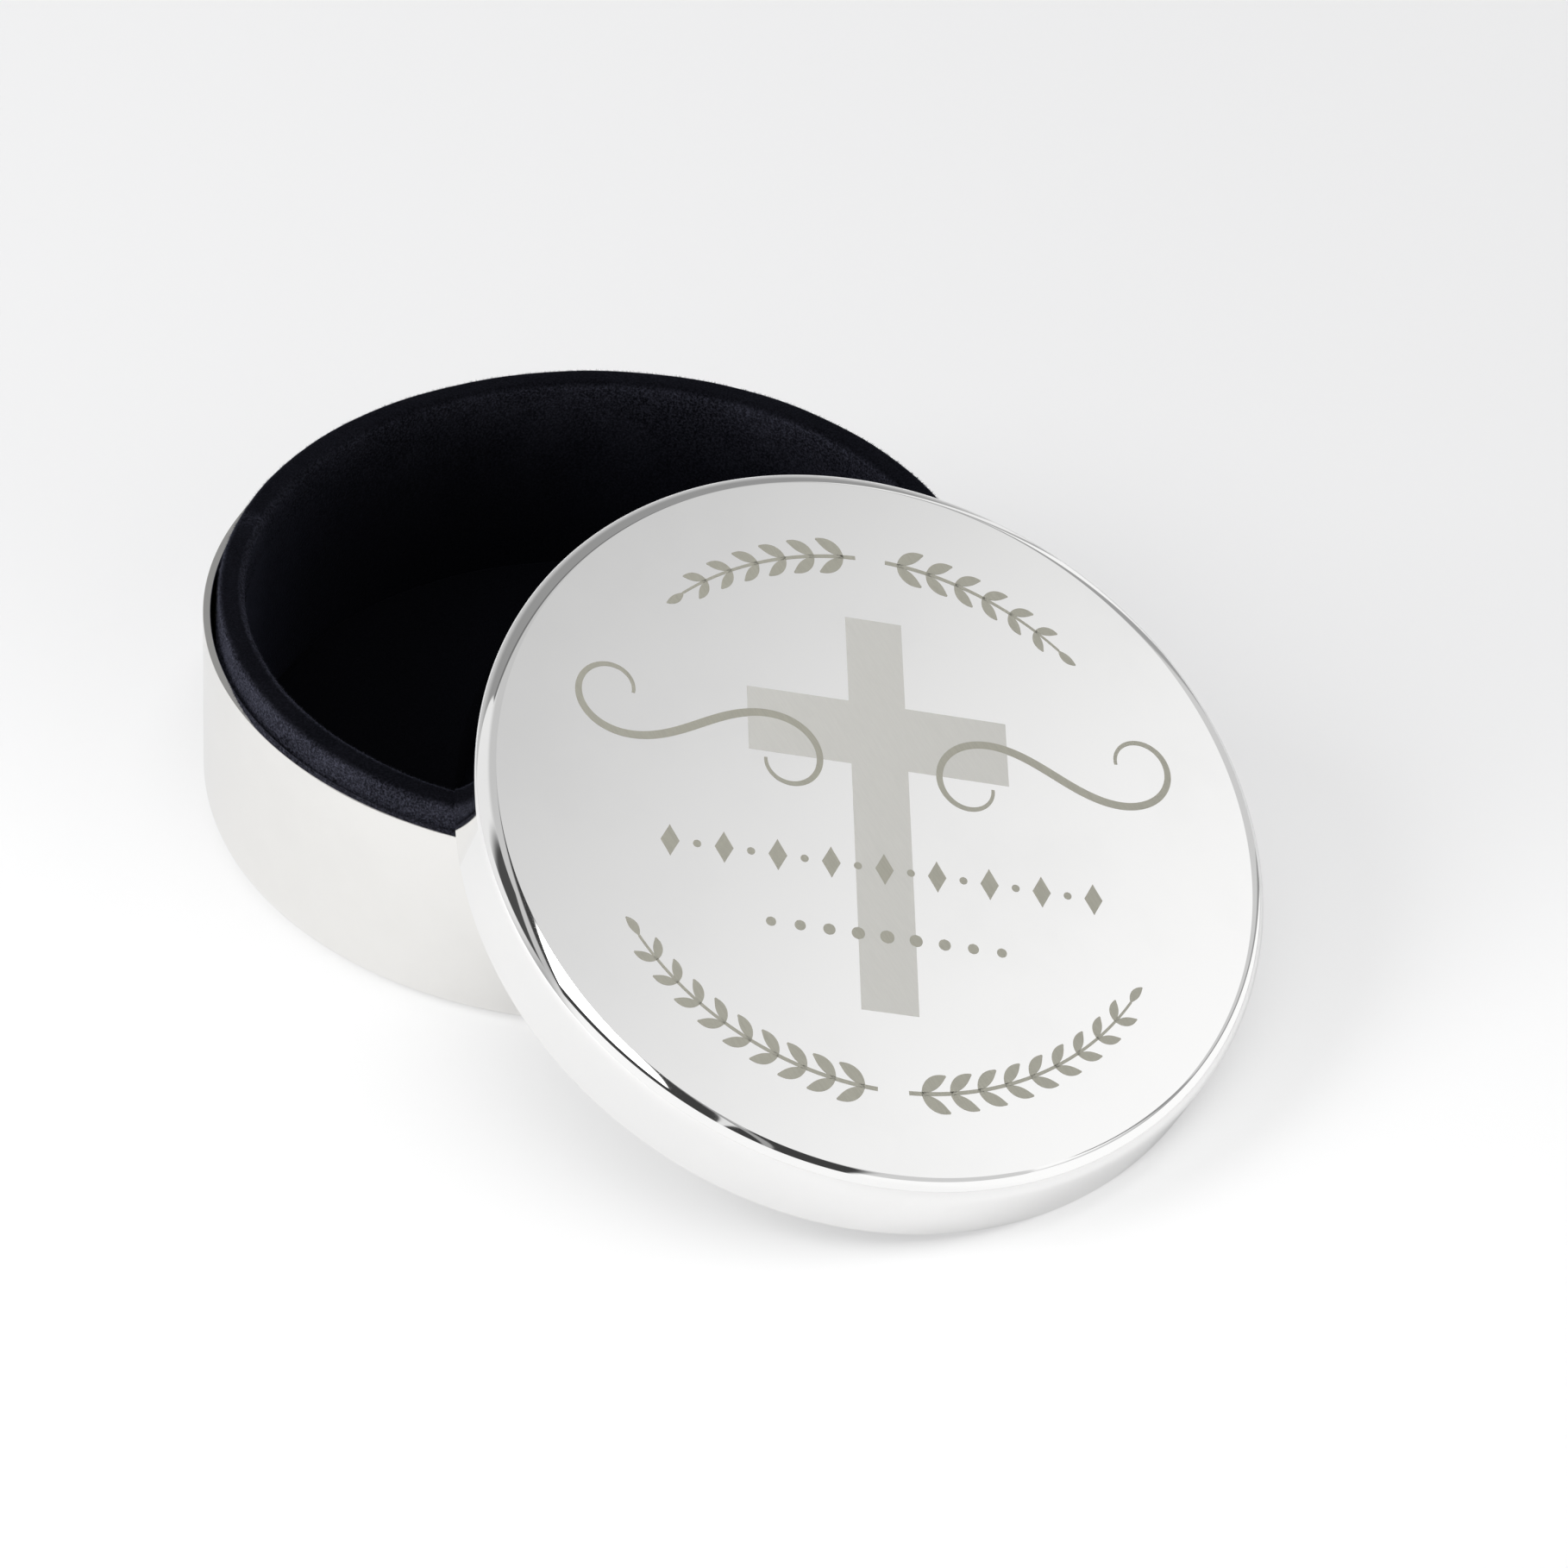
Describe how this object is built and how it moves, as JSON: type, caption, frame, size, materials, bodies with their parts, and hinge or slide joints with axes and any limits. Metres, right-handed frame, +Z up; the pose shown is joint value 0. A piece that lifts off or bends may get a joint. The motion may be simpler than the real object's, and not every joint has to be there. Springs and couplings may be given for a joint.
{
  "type": "round trinket box",
  "caption": "Round polished-metal trinket box with a padded dark velvet lining, its loose shallow lid taken off and leaning on the bowl's collar.",
  "frame": {"origin": "centre of the bowl's flat underside, on the table", "axes": "+Z up along the bowl's axis, +X towards the leaning lid's foot"},
  "size_m": [0.1352, 0.09, 0.0462],
  "materials": {
    "plated_metal": "mirror-polished silver-coloured plating",
    "velvet": "short-pile near-black navy velvet",
    "wadding": "soft white wadding",
    "card": "plain grey card"
  },
  "bodies": {
    "bowl": {"base_shell": "plated_metal", "liner_tube": "card", "liner_wadding": "wadding", "liner_velvet": "velvet", "floor_card": "card", "floor_wadding": "wadding", "floor_velvet": "velvet"},
    "lid": {"lid_shell": "plated_metal", "lid_card": "card", "lid_velvet": "velvet"}
  },
  "joints": [
    {"name": "lid_lift", "type": "slide", "parent": "bowl", "child": "lid", "axis": [0.4258, 0, 0.9048], "range_m": [0, 0.06]}
  ]
}
